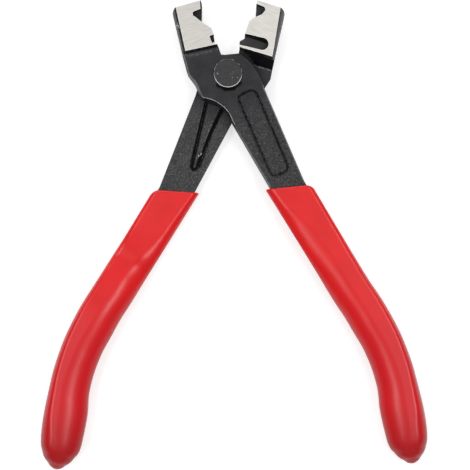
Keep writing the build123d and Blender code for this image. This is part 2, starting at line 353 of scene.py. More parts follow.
@dataclass(frozen=True)
class Grain:
    """Noise in blotches: their pitch in mm, their detail and the step that cuts them out."""

    pitch: float
    detail: float
    start: float = 0.0
    end: float = 1.0

    def raw(self, paint: Paint, place: Socket) -> Socket:
        """The noise itself at a place."""
        noise = {"Vector": place, "Scale": 1.0 / (self.pitch * MM), "Detail": self.detail}
        return paint.add("ShaderNodeTexNoise", noise).outputs[0]

    def cut(self, paint: Paint, value: Socket) -> Socket:
        """The step, run over a value."""
        return paint.ramp(value, self.start, self.end)

    def share(self, paint: Paint) -> Socket:
        """The blotches' share at the shaded point."""
        return self.cut(paint, self.raw(paint, paint.place))


@dataclass(frozen=True)
class Streak:
    """A line on a lever, from start to end in the lever's own frame, in mm: rubbed steel, a painted
    highlight or painted shade.

    It is full in the middle and fades out from the core's share of its width.
    """

    start: Span
    end: Span
    width: float
    strength: float
    heights: Span = (-1.0, 13.0)
    edge_only: bool = False
    core: float = 0.35

    def share(self, spot: "Spot") -> Socket:
        """How much of the streak is at a point.

        Args:
            spot: The shaded point.

        Returns:
            The share, up to the streak's strength.
        """
        start = Vector((*self.start, 0.0)) * MM
        line = Vector((*self.end, 0.0)) * MM - start
        gap = spot.vector("SUBTRACT", spot.flat(spot.own), tuple(start))
        passed = spot.part(spot.vector("DOT_PRODUCT", gap, tuple(line)), line.length_squared)
        distance = spot.vector("DISTANCE", gap, spot.vector("SCALE", tuple(line), passed))
        near = spot.ramp(distance, self.width * MM, self.core * self.width * MM)
        level = spot.between(spot.parts(spot.own)[2], *self.heights)
        return spot.times(level, near, self.strength)


@dataclass(frozen=True)
class Shade:
    """A box on a lever, in the lever's own frame, in mm, where shade or light is painted in by its amount.
    """

    low: Point
    high: Point
    amount: float

    def share(self, spot: "Spot") -> Socket:
        """The shade's amount inside the box and 0 outside it."""
        inside = (spot.between(*sides) for sides in zip(spot.parts(spot.own), self.low, self.high))
        return spot.times(*inside, self.amount)


# Bright marks on the front lever: the boss's lower edge, partly rubbed and partly a painted highlight; a
# painted highlight below the groove; a painted reflection on the flank; and two nicks.
FRONT_WEAR_AND_HIGHLIGHTS = (
    Streak((12.9, 1.6), (12.4, -4.0), 1.2, 0.3, (-1.0, 0.6), True),
    Streak((12.2, -5.4), (10.2, -6.9), 1.2, 0.9, (-1.0, 0.6), True),
    Streak((10.2, -6.9), (7.3, -10.0), 1.2, 1.0, (-1.0, 0.6), True),
    Streak((7.3, -10.0), (5.0, -13.9), 1.2, 1.0, (-1.0, 0.6), True),
    Streak((5.0, -13.9), (3.8, -18.5), 1.2, 0.9, (-1.0, 0.6), True),
    Streak((12.0, 11.2), (0.4, 9.7), 0.7, 0.05, (-1.0, 2.0)),
    Streak((12.4, 30.0), (14.2, 12.0), 1.0, 0.34, (2.2, 6.0)),
    Streak((12.2, 24.2), (11.2, 23.3), 0.3, 1.0, (0.5, 5.0)),
    Streak((11.6, 24.6), (11.5, 22.6), 0.22, 0.8, (0.5, 5.0)),
)
# Bright marks on the rear lever: light lines along the ramp's foot and the recess's edge, a painted
# highlight at the recess's tip and a painted reflection on the flank.
REAR_WEAR_AND_HIGHLIGHTS = (
    Streak((8.0, 7.05), (15.6, 7.7), 0.4, 0.2, (5.0, 7.0)),
    Streak((0.75, -18.4), (1.0, -31.5), 0.35, 0.12, (2.0, 7.0)),
    Streak((1.3, -31.8), (0.3, -33.8), 0.45, 0.85, (2.0, 7.0)),
    Streak((11.9, 30.5), (14.2, 12.0), 1.0, 0.34, (5.6, 9.4)),
)
# The sunk panel's outline on the front shank, with a line of painted shade all round.
PANEL_LINE = (
    *((-0.3, -11.2), (-0.9, -9.75), (-2.3, -9.2), (-5.6, -9.0), (-7.0, -9.5), (-7.6, -10.9)),
    *((-9.35, -40.4), (-8.9, -42.0), (-7.5, -42.6), (-4.0, -42.8), (-2.6, -42.2), (-2.1, -40.8)),
)
PANEL_EDGE = tuple(
    Streak(start, end, 0.85, 0.8, (-1.0, 1.0))
    for start, end in zip(PANEL_LINE, PANEL_LINE[1:] + PANEL_LINE[:1])
)
# Painted shade on the front lever: in the groove and along the jaw's strip, and a painted shadow below the
# rivet's head.
FRONT_PAINTED_SHADE = (
    Streak((12.9, 13.1), (0.3, 11.35), 0.75, 0.95, (-1.0, 3.0)),
    Streak((10.35, 30.6), (12.75, 13.6), 0.55, 0.8, (0.05, 3.0)),
    Streak((5.1, -3.0), (3.0, -5.1), 1.2, 0.8, (-1.0, 0.3)),
    Streak((3.0, -5.1), (0.0, -5.9), 1.5, 0.95, (-1.0, 0.3)),
    Streak((0.0, -5.9), (-3.0, -5.1), 1.2, 0.8, (-1.0, 0.3)),
)
# Painted shade on the rear lever: along the jaw's strip, on the recess's walls and in the notch.
REAR_PAINTED_SHADE = (
    Streak((9.4, 31.3), (12.9, 12.6), 0.5, 0.8, (9.5, 11.6)),
    Streak((-4.0, -12.4), (-0.2, -38.0), 1.05, 0.95, (2.0, 7.0)),
    Streak((2.8, -12.4), (1.8, -24.5), 1.2, 0.95, (2.0, 7.0)),
    Streak((1.8, -24.5), (2.0, -36.6), 1.5, 0.95, (2.0, 7.0)),
    Streak((0.0, 16.5), (9.2, 16.9), 0.9, 0.9, (7.5, 11.0)),
    Streak((-0.2, -38.0), (0.8, -38.8), 0.9, 0.95, (2.0, 7.0)),
    Streak((0.8, -38.8), (1.9, -37.6), 0.9, 0.95, (2.0, 7.0)),
)
# Painted shade in the hollow under the rear jaw and in both hook pockets, and painted light on the pockets'
# floors.
SHADES = (
    Shade((-3.0, 5.5, 5.95), (18.0, 10.9, 11.5), 0.8),
    Shade((-3.0, 11.0, 8.2), (10.5, 29.0, 11.55), 0.7),
    Shade((-3.0, 12.0, 0.1), (6.5, 27.0, 3.4), 0.6),
)
POCKET_FLOORS = (
    Shade((-3.0, 11.0, 7.9), (10.5, 29.0, 8.15), 0.35),
    Shade((-3.0, 12.0, 3.5), (6.5, 27.0, 3.7), 0.1),
)


class Spot(Paint):
    """A lever's material, with what its finish goes by at the shaded point.

    own is the point in the lever's own frame, and rounded its softened normal. edge, ground and
    forged are 1 along the edges, on the ground faces and on the rough shank. speckle and cloud are
    the fine and the broad grain, and brushed the grinding lines.
    """

    def __init__(self, finish: "BlackOxide") -> None:
        """Start the material and read the point.

        Args:
            finish: The lever's finish.
        """
        super().__init__(f"{finish.side.value}_black_oxide")
        inverse = seat_matrix(finish.side).inverted()
        seat = {"Location": tuple(inverse.to_translation()), "Rotation": tuple(inverse.to_euler("XYZ"))}
        self.own = self.add("ShaderNodeMapping", {"Vector": self.place, **seat}).outputs[0]
        bevel = self.add("ShaderNodeBevel", {"Radius": finish.edge_round}, samples=finish.edge_rays)
        self.rounded = bevel.outputs[0]
        face = self.add("ShaderNodeNewGeometry").outputs["Normal"]
        bent = self.rest(self.vector("DOT_PRODUCT", face, self.rounded))
        self.edge = self.ramp(bent, *finish.edge_span)
        self.ground = finish.ground_share(self)
        self.forged = self.ramp(self.parts(self.own)[1], *finish.forged_span)
        self.speckle = finish.speckle.raw(self, self.place)
        self.cloud = finish.cloud.raw(self, self.place)
        turn = (0.0, 0.0, math.radians(finish.brush_turn))
        strokes = {"Vector": self.own, "Scale": finish.brush_stretch, "Rotation": turn}
        self.brushed = finish.brushing.raw(self, self.add("ShaderNodeMapping", strokes).outputs[0])

    def worst(self, marks: tuple[Streak | Shade, ...]) -> Socket:
        """The largest share of any of the marks."""
        return self.most(*(mark.share(self) for mark in marks))


@dataclass(frozen=True)
class BlackOxide:
    """A black oxide skin on forged steel, with ground faces on the jaws, painted shade in its hollows and
    painted highlights on some edges.

    The outer ground face begins at ground_low, along a line that leans by ground_tilt degrees, and
    the mating one at mating_low; both are face_depth deep. Over forged_span, down the shank, the
    smooth skin turns rough. roughness, sheen and relief are the plain skin's; the values named for
    ground, dark, forged, speckle or cloud are what such places add or take away.
    """

    side: Side
    wear: tuple[Streak, ...]
    dirt: tuple[Streak, ...]
    ground: Colour
    ground_dull: Colour
    black: Colour = srgb(22, 21, 25)
    dusty: Colour = srgb(41, 40, 45)
    mottled: Colour = srgb(66, 66, 67)
    # Colour of the painted glints.
    glint: Colour = srgb(122, 122, 122)
    # Near black of the painted shade.
    grime: Colour = srgb(7, 7, 8)
    # Rubbed steel, and the colour of the painted highlights.
    worn: Colour = srgb(222, 219, 214)
    burr: Colour = srgb(248, 246, 242)
    burr_share: float = 0.8
    ground_low: float = 11.7 * MM
    ground_tilt: float = 8.0
    mating_low: float = 8.5 * MM
    face_depth: float = 0.06 * MM
    forged_span: Span = (-9.0 * MM, -22.0 * MM)
    edge_round: float = 0.35 * MM
    edge_rays: int = 6
    edge_span: Span = (0.002, 0.03)
    edge_wear: float = 0.1
    speckle: Grain = Grain(0.5, 4.0)
    cloud: Grain = Grain(4.5, 3.0)
    smooth_tone: Span = (0.38, 0.62)
    grit: Grain = Grain(0.55, 3.0, 0.36, 0.66)
    grit_share: float = 0.7
    dots: Grain = Grain(0.6, 2.0, 0.6, 0.7)
    dots_share: float = 0.05
    forged_dots: float = 0.3
    patches: Grain = Grain(1.1, 3.0, 0.35, 0.6)
    brushing: Grain = Grain(0.45, 4.0, 0.3, 0.75)
    brush_stretch: Point = (0.1, 1.0, 1.0)
    brush_turn: float = -12.0
    ground_metal: float = 0.6
    bare_metal: float = 0.1
    roughness: float = 0.42
    ground_polish: float = 0.06
    dark_rough: float = 0.3
    speckle_rough: float = 0.1
    sheen: float = 0.3
    dark_dull: float = 0.25
    ground_sheen: float = 0.2
    least_sheen: float = 0.05
    cloud_relief: float = 0.9
    relief: float = 0.3
    forged_relief: float = 0.5
    ground_calm: float = 0.6
    relief_depth: float = 0.14 * MM

    def build(self) -> Material:
        """Build the material.

        Returns:
            The material, whose marks stand in the lever's own frame.
        """
        spot = Spot(self)
        ground, edge = spot.ground, spot.edge
        # Rubbed steel, with painted highlights on some edges and flanks.
        wear = self.wear_share(spot)
        # Painted shade in grooves, strips, recesses, hollows and under the rivet's head, darkened to near
        # black.
        dark = spot.worst(self.dirt + SHADES)
        # Painted light: the pockets' floors are lightened to the mottled grey.
        skin = spot.mix(spot.worst(POCKET_FLOORS), self.skin(spot), self.mottled)
        skin = spot.mix(wear, spot.mix(dark, skin, self.grime), self.worn)
        steel = spot.mix(self.brushing.cut(spot, spot.brushed), self.ground, self.ground_dull)
        steel = spot.mix(spot.times(edge, self.burr_share), steel, self.burr)
        metal = spot.times(ground, spot.line(edge, -self.ground_metal, self.ground_metal))
        rough = spot.line(ground, -self.ground_polish, self.roughness)
        rough = spot.line(dark, self.dark_rough, rough)
        sheen = spot.line(ground, self.ground_sheen, spot.line(dark, -self.dark_dull, self.sheen))
        look = {
            "Base Color": spot.mix(ground, skin, steel),
            "Metallic": spot.line(spot.most(ground, wear), self.bare_metal, metal),
            "Roughness": spot.line(spot.speckle, self.speckle_rough, rough),
            "Specular IOR Level": spot.most(sheen, self.least_sheen),
            "Normal": self.surface(spot),
        }
        return spot.finish(look)

    def ground_share(self, spot: Spot) -> Socket:
        """Find the two ground faces of the jaw.

        Args:
            spot: The shaded point.

        Returns:
            1 on the faces and 0 elsewhere.
        """
        low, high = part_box(self.side.lever)
        x, y, z = spot.parts(spot.own)
        tilt = math.tan(math.radians(self.ground_tilt))
        above_groove = spot.above(spot.line(x, -tilt, y), self.ground_low)
        outer = spot.times(above_groove, spot.below(z, self.face_depth))
        mating = spot.above(z, high.z - low.z - self.face_depth)
        return spot.most(outer, spot.times(spot.above(y, self.mating_low), mating))

    def wear_share(self, spot: Spot) -> Socket:
        """Find where the steel shows bright: rubbed a little along the edges, and along single streaks,
        some of them painted highlights.

        Args:
            spot: The shaded point.

        Returns:
            The share of rubbed-through steel and of painted highlight.
        """
        patches = self.patches.share(spot)
        shares = [spot.times(spot.edge, patches, self.edge_wear)]
        for streak in self.wear:
            shares.append(spot.times(streak.share(spot), spot.edge if streak.edge_only else patches))
        return spot.most(*shares)

    def skin(self, spot: Spot) -> Socket:
        """Colour the black skin, with more mottle on the shank than round the pivot and light dots painted
        on as glints.

        Args:
            spot: The shaded point.

        Returns:
            The colour.
        """
        tone = spot.times(spot.plus(spot.speckle, spot.cloud), 0.5)
        smooth_skin = spot.mix(spot.ramp(tone, *self.smooth_tone), self.black, self.dusty)
        grit = self.grit.raw(spot, spot.place)
        pebbles = spot.line(grit, self.grit_share, spot.times(tone, 1.0 - self.grit_share))
        rough_skin = spot.mix(self.grit.cut(spot, pebbles), self.black, self.mottled)
        # Painted glints: light dots, more of them on the rough shank.
        amount = spot.line(spot.forged, self.forged_dots, self.dots_share)
        glints = spot.times(self.dots.share(spot), amount)
        return spot.mix(glints, spot.mix(spot.forged, smooth_skin, rough_skin), self.glint)

    def surface(self, spot: Spot) -> Socket:
        """Bend the normal by the softened edges, the forged relief and the grinding lines.

        Args:
            spot: The shaded point.

        Returns:
            The normal.
        """
        forged = spot.line(spot.cloud, self.cloud_relief, spot.speckle)
        height = spot.either(forged, spot.brushed, spot.ground)
        calm = spot.line(spot.ground, -self.ground_calm, 1.0)
        strength = spot.times(calm, spot.line(spot.forged, self.forged_relief, self.relief))
        return spot.bump(height, strength, self.relief_depth, Normal=spot.rounded)


FRONT_SKIN = {"black": srgb(17, 16, 20), "dusty": srgb(35, 34, 39), "mottled": srgb(54, 54, 56)}
FRONT_STEEL = {"ground": srgb(204, 201, 196), "ground_dull": srgb(188, 185, 179)}
REAR_STEEL = {"ground": srgb(213, 210, 205), "ground_dull": srgb(197, 194, 188)}
FINISHES = (
    BlackOxide(Side.FRONT, FRONT_WEAR_AND_HIGHLIGHTS, FRONT_PAINTED_SHADE + PANEL_EDGE, **FRONT_STEEL, **FRONT_SKIN),
    BlackOxide(Side.REAR, REAR_WEAR_AND_HIGHLIGHTS, REAR_PAINTED_SHADE, **REAR_STEEL),
)


@dataclass(frozen=True)
class DippedVinyl:
    """Red vinyl that was dipped on hot: smooth and glossy, darker down the lower handles, with painted
    shade at the tips.
    """

    name: str = "dipped_vinyl"
    red: Colour = srgb(222, 20, 23)
    deep: Colour = srgb(212, 17, 20)
    lower: Colour = srgb(204, 17, 27)
    # Colour of the painted shade at the tips.
    tip: Colour = srgb(166, 13, 19)
    lower_span: Span = (-72.0 * MM, -118.0 * MM)
    tip_span: Span = (-122.0 * MM, -151.0 * MM)
    cloud: Grain = Grain(12.0, 2.0, 0.3, 0.75)
    grain: Grain = Grain(0.5, 2.0)
    runs: Grain = Grain(1.6, 2.0)
    run_stretch: float = 0.08
    handle_length: float = 120.0 * MM
    handle_round: float = 50.0 * MM
    lines: tuple[float, ...] = (0.262, 0.286, 0.305)
    line_width: float = 0.009
    line_start: Span = (0.45, 0.66)
    line_end: Span = (0.96, 0.88)
    grain_relief: float = 0.1
    relief: float = 0.25
    relief_depth: float = 0.12 * MM
    roughness: float = 0.26
    grain_rough: float = 0.1
    sheen: float = 0.42

    def build(self) -> Material:
        """Build the material.

        Returns:
            The material; its fine runs follow the handle by the piece's own attributes.
        """
        paint = Paint(self.name)
        y = paint.parts(paint.place)[1]
        colour = paint.mix(self.cloud.share(paint), self.red, self.deep)
        colour = paint.mix(paint.ramp(y, *self.lower_span), colour, self.lower)
        along, around = map(paint.stored, ("along", "around"))
        length = paint.times(along, self.run_stretch * self.handle_length)
        drawn = paint.joined(length, paint.times(around, self.handle_round), 0.0)
        grain = self.grain.raw(paint, paint.place)
        relief = paint.line(grain, self.grain_relief, self.runs.raw(paint, drawn))
        relief = paint.plus(relief, self.dip_lines(paint, along, around))
        look = {
            # Painted shade: the tips darken.
            "Base Color": paint.mix(paint.ramp(y, *self.tip_span), colour, self.tip),
            "Normal": paint.bump(relief, self.relief, self.relief_depth),
            "Roughness": paint.line(grain, self.grain_rough, self.roughness),
            "Specular IOR Level": self.sheen,
        }
        return paint.finish(look)

    def dip_lines(self, paint: Paint, along: Socket, around: Socket) -> Socket:
        """Draw the faint lines that the dipping leaves along the lower handle.

        Args:
            paint: The material's tree.
            along: The share along the handle.
            around: The share round the handle.

        Returns:
            The lines' height.
        """
        off_side = paint.math("ABSOLUTE", paint.minus(around, 0.5))
        gaps = [paint.math("ABSOLUTE", paint.minus(off_side, line)) for line in self.lines]
        total = paint.plus(*(paint.ramp(gap, self.line_width, 0.0) for gap in gaps))
        return paint.times(total, paint.ramp(along, *self.line_start), paint.ramp(along, *self.line_end))


@dataclass(frozen=True)
class RivetBlack:
    """Black oxide on the rivet, rubbed bright in patches round its rim, with a painted highlight along the
    rim on the handles' side, and chipped in a few places.

    Each chipped place is its x, its y and its reach, in mm.
    """

    name: str = "rivet_black"
    black: Colour = srgb(32, 32, 34)
    dusty: Colour = srgb(56, 56, 59)
    # Rubbed steel, and the colour of the rim's painted highlight.
    worn: Colour = srgb(234, 232, 228)
    speckle: Grain = Grain(0.5, 4.0, 0.4, 0.85)
    head_from: float = 13.5 * MM
    rim_span: Span = (5.14 * MM, 5.26 * MM)
    # Where the rim's painted highlight runs, in y.
    worn_side: Span = (0.3 * MM, -3.0 * MM)
    patches: Grain = Grain(1.4, 2.0, 0.45, 0.65)
    patch_amount: float = 0.3
    chips: Grain = Grain(0.8, 3.0, 0.54, 0.68)
    chip_amount: float = 0.3
    chip_core: float = 0.6
    chipped: tuple[Point, ...] = ((2.5, -1.0, 1.9), (2.7, 1.3, 1.0), (-4.1, -0.4, 0.6))
    bare_metal: float = 0.2
    roughness: float = 0.36
    speckle_rough: float = 0.14
    sheen: float = 0.4
    relief: float = 0.35
    relief_depth: float = 0.1 * MM

    def build(self) -> Material:
        """Build the material.

        Returns:
            The material.
        """
        paint = Paint(self.name)
        _, y, z = paint.parts(paint.place)
        speckle = self.speckle.raw(paint, paint.place)
        brightened = paint.most(self.rim_share(paint, y), self.chip_share(paint))
        brightened = paint.times(brightened, paint.above(z, self.head_from))
        skin = paint.mix(self.speckle.cut(paint, speckle), self.black, self.dusty)
        look = {
            "Base Color": paint.mix(brightened, skin, self.worn),
            "Metallic": paint.times(brightened, self.bare_metal),
            "Roughness": paint.line(speckle, self.speckle_rough, self.roughness),
            "Specular IOR Level": self.sheen,
            "Normal": paint.bump(paint.minus(speckle, brightened), self.relief, self.relief_depth),
        }
        return paint.finish(look)

    def rim_share(self, paint: Paint, y: Socket) -> Socket:
        """Find the bright rim: rubbed patches all round, and a painted highlight on the side of the
        handles.

        Args:
            paint: The material's tree.
            y: How far towards the jaws the point is.

        Returns:
            The share of rubbed-through steel and of painted highlight.
        """
        rim = paint.ramp(paint.vector("LENGTH", paint.flat(paint.place)), *self.rim_span)
        patches = paint.times(self.patches.share(paint), self.patch_amount)
        # Painted highlight: the rim is brightest on the handles' side.
        return paint.times(rim, paint.most(paint.ramp(y, *self.worn_side), patches))

    def chip_share(self, paint: Paint) -> Socket:
        """Find the small chips in a few places of the rivet's face.

        Args:
            paint: The material's tree.

        Returns:
            The share of bare steel.
        """
        near = []
        for x, y, reach in self.chipped:
            distance = paint.vector("DISTANCE", paint.flat(paint.place), (x * MM, y * MM, 0.0))
            near.append(paint.ramp(distance, reach * MM, self.chip_core * reach * MM))
        return paint.times(self.chips.share(paint), paint.most(*near), self.chip_amount)


@dataclass
class LeverDress:
    """A lever's own mesh, merged and smoothed, in its finish."""

    finish: BlackOxide
    smooth_below: float = 28.0

    def build(self) -> Object:
        """Build the lever's piece in place of its node.

        Returns:
            The piece, riding on its body.
        """
        side = self.finish.side
        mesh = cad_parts[side.lever].data.copy()
        mesh.name = f"{side.lever}_skin"
        if "custom_normal" in mesh.attributes:
            mesh.attributes.remove(mesh.attributes["custom_normal"])
        shape = bmesh.new()
        shape.from_mesh(mesh)
        bmesh.ops.remove_doubles(shape, verts=shape.verts, dist=WELD)
        shape.to_mesh(mesh)
        shape.free()
        smooth(mesh, self.smooth_below)
        mesh.materials.clear()
        mesh.materials.append(self.finish.build())
        piece = placed(f"{side.lever}_skin", mesh)
        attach(piece, side.body)
        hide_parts(side.lever)
        return piece


@dataclass(frozen=True)
class GripSection:
    """A section of the dipped handle; place is its share of the way from the mouth to the tip.

    outer and inner are half widths as shares of the grip width, rise lifts the mating side from
    half to full thickness and thinness narrows the thickness. crown moves the flat of the section
    outwards. The reaches are the corners' sizes across, as shares of the grip width; on the inner
    side there is one for the mating side and one for the outer face. The rounds are the corners'
    sizes through the thickness, as shares of the section's smaller side.
    """

    place: float
    outer: float
    inner: float
    rise: float
    thinness: float
    crown: float
    outer_reach: float
    mating_reach: float
    face_reach: float
    outer_round: float
    inner_round: float


GRIP_ROWS = (
    (0.000, 0.530, 0.460, 0.00, 1.00, 0.00, 0.10, 0.13, 0.18, 0.20, 0.26),
    (0.082, 0.523, 0.472, 0.00, 1.00, 0.02, 0.10, 0.18, 0.24, 0.22, 0.40),
    (0.200, 0.503, 0.492, 0.02, 1.00, 0.10, 0.11, 0.28, 0.50, 0.24, 0.46),
    (0.313, 0.487, 0.513, 0.45, 1.00, 0.11, 0.12, 0.46, 0.56, 0.26, 0.46),
    (0.428, 0.473, 0.537, 0.88, 1.00, 0.10, 0.12, 0.53, 0.56, 0.29, 0.46),
    (0.527, 0.490, 0.533, 1.00, 1.00, 0.12, 0.14, 0.60, 0.56, 0.33, 0.46),
    (0.626, 0.545, 0.450, 1.00, 1.00, 0.20, 0.16, 0.63, 0.58, 0.37, 0.45),
    (0.724, 0.598, 0.390, 1.00, 1.00, 0.26, 0.19, 0.66, 0.60, 0.40, 0.44),
    (0.823, 0.593, 0.477, 1.00, 1.00, 0.20, 0.24, 0.69, 0.64, 0.43, 0.43),
    (0.905, 0.535, 0.493, 1.00, 0.95, 0.14, 0.32, 0.61, 0.58, 0.44, 0.44),
    (0.955, 0.410, 0.385, 1.00, 0.74, 0.05, 0.32, 0.42, 0.42, 0.45, 0.45),
    (0.988, 0.190, 0.180, 1.00, 0.36, 0.00, 0.18, 0.18, 0.18, 0.46, 0.46),
    (1.000, 0.110, 0.110, 1.00, 0.18, 0.00, 0.11, 0.11, 0.11, 0.46, 0.46),
)
GRIP_SECTIONS = tuple(GripSection(*row) for row in GRIP_ROWS)


@dataclass
class GripTree(Graph):
    """The node group that sweeps the dipped sections along a handle's route.

    flat_top and full_top are the heights of the mating side, at the mouth and further on, and wall
    is the vinyl's thickness. lip rounds the mouth, corner its outer end and nub the tip.
    tip_crowding is the power that draws the last rings towards the tip, and shift_fade and
    slope_fade are the shares over which the mouth's shift and slant run out.
    side_share and top_share are the flat parts of a quarter of a section, and flank is the power
    that draws in its inner corners.
    """

    flat_top: float = 5.6 * MM
    full_top: float = 12.85 * MM
    wall: float = 1.2 * MM
    lip: float = 0.7 * MM
    corner: float = 2.2 * MM
    lip_rings: int = 6
    tip_crowding: float = 1.5
    nub: float = 1.3 * MM
    shift_fade: float = 0.43
    slope_fade: float = 0.3
    side_share: float = 0.13
    top_share: float = 0.2
    flank: float = 1.1

    def __post_init__(self) -> None:
        """Start the node group, with its inputs named for what they set."""
        super().__init__(bpy.data.node_groups.new("dipped_grip", "GeometryNodeTree"))
        new_socket = self.tree.interface.new_socket
        new_socket("Geometry", in_out="OUTPUT", socket_type="NodeSocketGeometry")
        inputs = {
            "Geometry": ("Route",),
            "Int": ("Rings", "Facets"),
            "Float": ("Width", "Shift", "Mouth Start", "Mouth Slope"),
            "Material": ("Finish",),
        }
        for kind, names in inputs.items():
            for name in names:
                new_socket(name, in_out="INPUT", socket_type=f"NodeSocket{kind}")
        self.given = self.add("NodeGroupInput").outputs

    def build(self) -> NodeTree:
        """Sweep a net along the route.

        Returns:
            The node group.
        """
        given = self.given
        route = self.add("GeometryNodeMeshToCurve", {"Mesh": given["Route"]}).outputs[0]
        counts = {"Vertices X": given["Rings"], "Vertices Y": given["Facets"]}
        net = self.add("GeometryNodeMeshGrid", counts)
        across, down, _ = self.parts(self.add("GeometryNodeInputPosition").outputs[0])
        last = self.minus(given["Rings"], 1.0)
        place, along = self.place(route, self.times(self.plus(across, 0.5), last), last, down)
        moved = {"Geometry": net.outputs["Mesh"], "Position": place}
        shape = self.add("GeometryNodeSetPosition", moved).outputs[0]
        for name, value in (("along", along), ("around", self.plus(down, 0.5))):
            stored = {"Geometry": shape, "Name": name, "Value": value}
            settings = {"data_type": "FLOAT", "domain": "POINT"}
            shape = self.add("GeometryNodeStoreNamedAttribute", stored, **settings).outputs[0]
        shape = self.add("GeometryNodeMergeByDistance", {"Geometry": shape, "Distance": WELD}).outputs[0]
        for kind in ("GeometryNodeSetShadeSmooth", "GeometryNodeRealizeInstances"):
            shape = self.add(kind, {0: shape}).outputs[0]
        dressed = self.add("GeometryNodeSetMaterial", {"Geometry": shape, "Material": given["Finish"]})
        self.add("NodeGroupOutput", {0: dressed.outputs[0]})
        return self.tree

    def place(self, route: Socket, ring: Socket, last: Socket, down: Socket) -> tuple[Socket, Socket]:
        """Find where each point of the net goes.

        The first ring closes the mouth, the next ones round the lip, and the others run to the tip.

        Args:
            route: The handle's route.
            ring: The number of a point's ring, counted from the mouth.
            last: The number of the ring at the tip.
            down: A point's share of the way round its ring, from -0.5 to 0.5.

        Returns:
            The place, and the share along the handle.
        """
        given = self.given
        total = self.add("GeometryNodeCurveLength", {0: route}).outputs[0]
        turn = self.times(self.minus(ring, 1.0), QUARTER_TURN / self.lip_rings)
        turn = self.math("MINIMUM", self.most(turn, 0.0), QUARTER_TURN)
        inset = self.line(self.math("SINE", turn), -self.lip, self.lip)
        advance = self.line(self.math("COSINE", turn), -self.lip, self.lip)
        lip_end = 1.0 + self.lip_rings
        walked = self.part(self.minus(ring, lip_end), self.minus(last, lip_end))
        walked = self.rest(self.math("POWER", self.rest(walked), self.tip_crowding))
        reach = self.minus(total, self.plus(given["Mouth Start"], self.lip))
        travel = self.line(walked, reach, self.plus(given["Mouth Start"], advance))
        along = self.math("DIVIDE", travel, total)
        before_tip = self.part(self.minus(total, travel), self.nub)
        closing = self.times(self.circle(self.rest(before_tip)), self.above(ring, 0.5))
        x, z = self.section(along, inset, closing, down)
        slant = self.rest(self.part(walked, self.slope_fade))
        edge = self.line(given["Width"], GRIP_SECTIONS[0].outer, -self.corner)
        past = self.part(self.minus(given["Shift"], self.plus(edge, x)), self.corner)
        round_off = self.times(self.rest(self.circle(past)), self.corner)
        travel = self.line(round_off, slant, travel)
        length = self.line(self.times(slant, given["Mouth Slope"]), x, travel)
        on_route = {"Curves": route, "Length": length}
        sample = self.add("GeometryNodeSampleCurve", on_route, mode="LENGTH", use_all_curves=True)
        ahead_x, ahead_y, _ = self.parts(sample.outputs["Tangent"])
        side = self.joined(self.times(ahead_y, -1.0), ahead_x, 0.0)
        place = self.vector("ADD", sample.outputs["Position"], self.vector("SCALE", side, x))
        return self.vector("ADD", place, self.joined(0.0, 0.0, z)), along

    def circle(self, share: Socket) -> Socket:
        """A quarter circle's height: 1 at a share of 0, and 0 at 1."""
        return self.math("SQRT", self.rest(self.math("POWER", share, 2.0)))

    def section(self, along: Socket, inset: Socket, closing: Socket, down: Socket) -> tuple[Socket, Socket]:
        """Find a point of a section: a rounded rectangle with soft corners.

        Args:
            along: The share along the handle.
            inset: How far the section is drawn in.
            closing: 1 on the open sections, falling to 0 where the sleeve closes.
            down: The point's share of the way round, from -0.5 to 0.5.

        Returns:
            The point's places across the handle and through its thickness.
        """
        width = self.given["Width"]
        names = [column.name for column in fields(GripSection)[1:]]
        drawn = {name: [(row.place, getattr(row, name)) for row in GRIP_SECTIONS] for name in names}
        value = {name: self.curve(along, points) for name, points in drawn.items()}
        shift = self.times(self.rest(self.part(along, self.shift_fade)), self.given["Shift"])
        outer = self.minus(self.times(value["outer"], width), shift)
        inner = self.line(value["inner"], width, shift)
        top = self.line(value["rise"], self.full_top - self.flat_top, self.flat_top)
        thickness = self.times(self.plus(top, self.wall), value["thinness"])
        smaller = self.math("MINIMUM", thickness, self.plus(outer, inner))
        quarter = self.times(self.plus(down, 0.5), 4.0)
        on_inner = self.below(self.math("ABSOLUTE", down), 0.25)
        on_face = self.above(quarter, 2.0)
        crown = self.times(value["crown"], width)
        half_width = self.either(self.minus(outer, crown), self.plus(inner, crown), on_inner)
        radius = self.times(self.either(value["outer_round"], value["inner_round"], on_inner), smaller)
        spread = self.either(value["mating_reach"], value["face_reach"], on_face)
        spread = self.times(self.either(value["outer_reach"], spread, on_inner), width)
        step = self.math("PINGPONG", quarter, 1.0)
        turn = self.part(self.minus(step, self.side_share), 1.0 - self.side_share - self.top_share)
        turn = self.times(turn, QUARTER_TURN)
        power = self.line(on_inner, self.flank - 1.0, 1.0)
        cosine, sine = (self.math("POWER", self.math(wave, turn), power) for wave in ("COSINE", "SINE"))
        flat_across = self.part(self.rest(step), self.top_share)
        flat_up = self.part(step, self.side_share)
        x = self.reach(half_width, spread, flat_across, cosine, inset)
        z = self.reach(self.times(thickness, 0.5), radius, flat_up, sine, inset)
        x = self.minus(self.times(x, self.line(on_inner, 2.0, -1.0)), crown)
        z = self.times(z, self.line(on_face, -2.0, 1.0), closing)
        middle = self.times(self.minus(top, self.wall), 0.5)
        return self.times(x, closing), self.plus(z, middle)

    def reach(self, half: Socket, radius: Socket, flat: Socket, wave: Socket, inset: Socket) -> Socket:
        """Find how far a point of a rounded rectangle stands from its middle, one way.

        Args:
            half: Half the rectangle's size this way.
            radius: The corner's radius.
            flat: The share of the flat part that is passed.
            wave: The sine or cosine of the turn round the corner.
            inset: How far the section is drawn in.

        Returns:
            The distance.
        """
        straight = self.times(self.minus(half, radius), flat)
        arc = self.times(self.minus(radius, inset), wave)
        return self.most(self.plus(straight, arc), 0.0)


